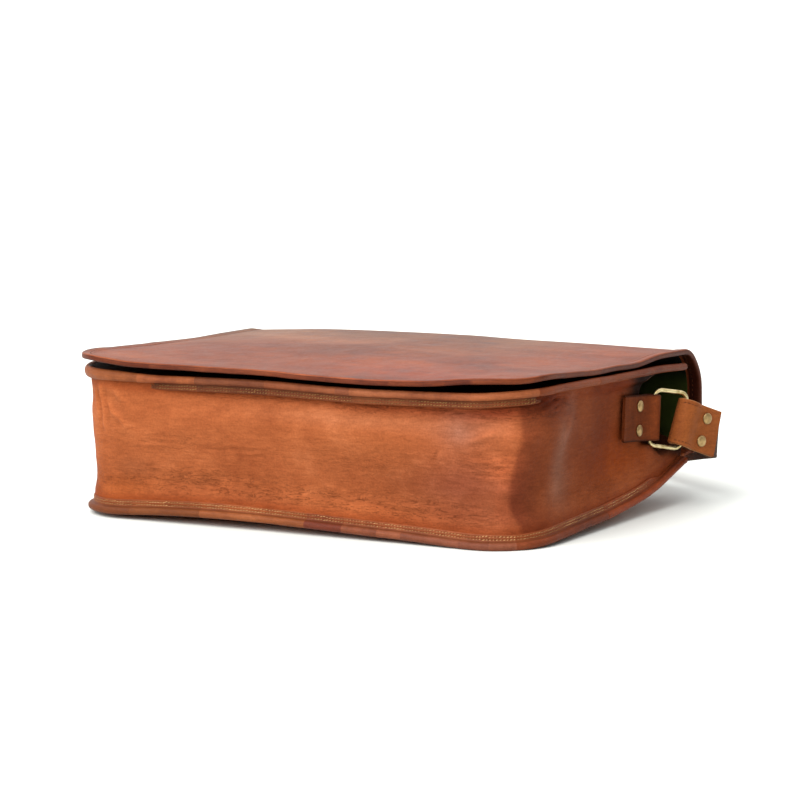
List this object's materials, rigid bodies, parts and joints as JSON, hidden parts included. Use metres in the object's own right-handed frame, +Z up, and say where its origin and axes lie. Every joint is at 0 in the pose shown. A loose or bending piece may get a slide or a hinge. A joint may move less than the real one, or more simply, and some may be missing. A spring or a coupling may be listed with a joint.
{
  "type": "laptop messenger bag",
  "caption": "Full-flap leather laptop messenger bag lying on its back, with bound rounded edges, side rings on riveted tabs and a shoulder strap trailing behind it.",
  "frame": {"origin": "on the flat of the back panel, where the bag rests, in the middle of its width", "axes": "+X to the right across the bag, +Y from the bottom to the mouth, +Z up from the back panel to the flap"},
  "size_m": [0.5844, 0.5733, 0.1248],
  "materials": {
    "leather_body": "waxed full-grain leather, orange tan, mottled and softly glossy",
    "leather_flap": "waxed full-grain leather, red brown, mottled, with a pale sheen",
    "leather_binding": "thin leather strips of mixed browns, rolled and double stitched",
    "leather_strap": "smooth saddle leather with dark cut edges and edge stitching",
    "canvas_lining": "dark green plain-weave cotton canvas",
    "aged_brass": "dull antiqued brass, worn bright on its edges"
  },
  "bodies": {
    "root": {"back_panel": "leather_body", "gusset": "leather_body", "front_panel": "leather_flap", "flap": "leather_flap", "back_binding": "leather_binding", "front_binding": "leather_binding", "flap_binding": "leather_binding", "lining": "canvas_lining", "shoulder_strap": "leather_strap", "right_strap_tab": "leather_strap", "left_strap_tab": "leather_strap", "right_ring": "aged_brass", "left_ring": "aged_brass", "right_tab_rivet_1": "aged_brass", "right_tab_rivet_2": "aged_brass", "right_strap_rivet_1": "aged_brass", "right_strap_rivet_2": "aged_brass", "left_tab_rivet_1": "aged_brass", "left_tab_rivet_2": "aged_brass", "left_strap_rivet_1": "aged_brass", "left_strap_rivet_2": "aged_brass"}
  },
  "joints": []
}
